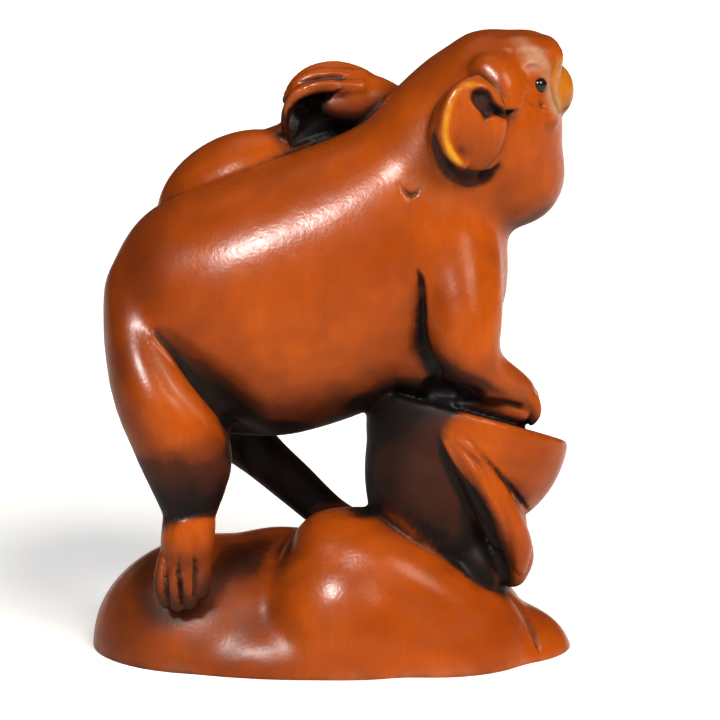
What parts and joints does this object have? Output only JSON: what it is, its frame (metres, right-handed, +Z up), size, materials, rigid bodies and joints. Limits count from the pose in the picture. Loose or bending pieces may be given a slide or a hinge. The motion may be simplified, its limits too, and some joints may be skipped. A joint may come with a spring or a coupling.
{
  "type": "netsuke",
  "caption": "Small carved boxwood toggle: a monkey with her young on her back climbs a rock, one hand on a fruit.",
  "frame": {"origin": "on the flat underside of the rock, below the middle of the carving", "axes": "+X the way the monkey looks, +Y towards her left side, +Z up"},
  "size_m": [0.0422, 0.0225, 0.0543],
  "materials": {
    "boxwood": "boxwood stained orange-brown, rubbed to a polish, dark stain left in the creases",
    "horn": null
  },
  "bodies": {
    "root": {"carving": "boxwood", "eye_right": "horn", "eye_left": "horn"}
  },
  "joints": []
}
